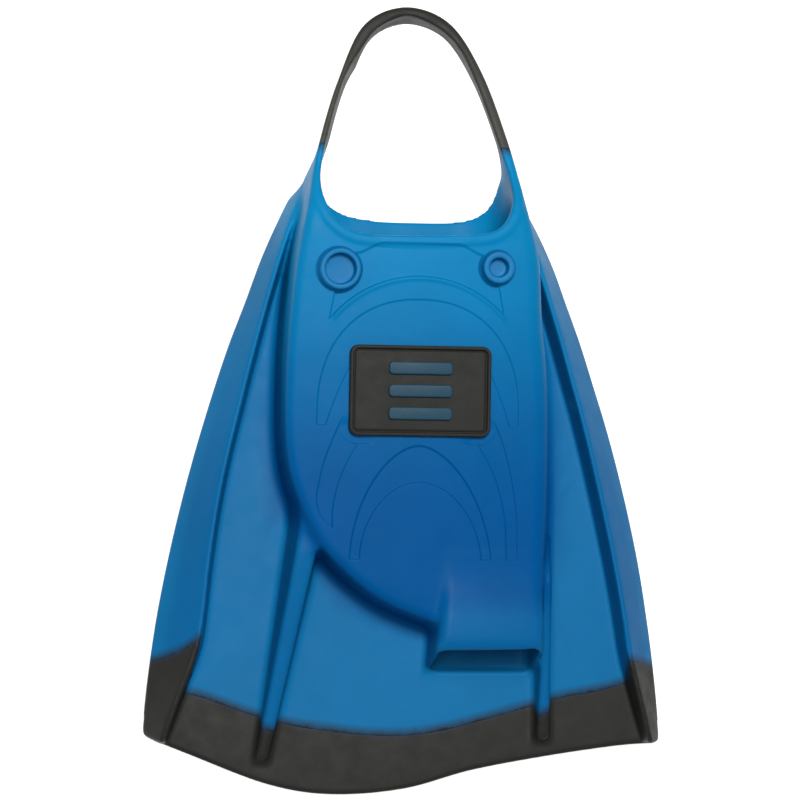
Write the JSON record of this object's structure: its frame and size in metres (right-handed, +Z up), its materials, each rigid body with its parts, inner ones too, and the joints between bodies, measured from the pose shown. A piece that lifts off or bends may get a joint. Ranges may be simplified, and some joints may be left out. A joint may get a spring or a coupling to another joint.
{
  "type": "swim training fin",
  "caption": "Open-heel swim training fin: moulded foot pocket with big-toe hood and side rails, flexing blade end and swinging heel strap.",
  "frame": {"origin": "middle of the footprint, on the surface the sole and rails lie on", "axes": "+Z up from the sole through the instep, +Y from the blade tip towards the heel strap, +X towards the big-toe side"},
  "size_m": [0.2293, 0.3449, 0.0556],
  "materials": {
    "blue_silicone": "matte",
    "charcoal_silicone": "matte",
    "badge_grey": "matte",
    "badge_teal": "satin"
  },
  "bodies": {
    "pocket": {"sole_panel": "blue_silicone", "sole_tread": "blue_silicone", "instep_panel": "blue_silicone", "instep_relief": "blue_silicone", "pocket_wall_left": "blue_silicone", "pocket_wall_right": "blue_silicone", "toe_wall": "blue_silicone", "toe_hood": "blue_silicone", "opening_rim": "blue_silicone", "strap_arm_left": "blue_silicone", "strap_arm_right": "blue_silicone", "web_left": "blue_silicone", "web_centre": "blue_silicone", "web_right": "blue_silicone", "rail_left": "blue_silicone", "rail_right": "blue_silicone", "rib_left": "blue_silicone", "rib_right": "blue_silicone", "large_ring": "blue_silicone", "small_ring": "blue_silicone", "badge_plate": "badge_grey", "badge_bar_1": "badge_teal", "badge_bar_2": "badge_teal", "badge_bar_3": "badge_teal"},
    "blade_end": {"flex_web": "blue_silicone", "tip_web": "charcoal_silicone", "rail_tip_left": "charcoal_silicone", "rail_tip_right": "charcoal_silicone", "rib_tip_left": "charcoal_silicone", "rib_tip_right": "charcoal_silicone"},
    "strap": {"heel_strap": "charcoal_silicone"}
  },
  "joints": [
    {"name": "blade_flex", "type": "hinge", "parent": "pocket", "child": "blade_end", "pos_m": [0, -0.1345, 0.013], "axis": [1, 0, 0], "range_deg": [-30, 30], "stiffness_Nm_per_rad": 1.5},
    {"name": "strap_swing", "type": "hinge", "parent": "pocket", "child": "strap", "pos_m": [0, 0.118, 0.035], "axis": [1, 0, 0], "range_deg": [-35, 50], "stiffness_Nm_per_rad": 0.4}
  ]
}
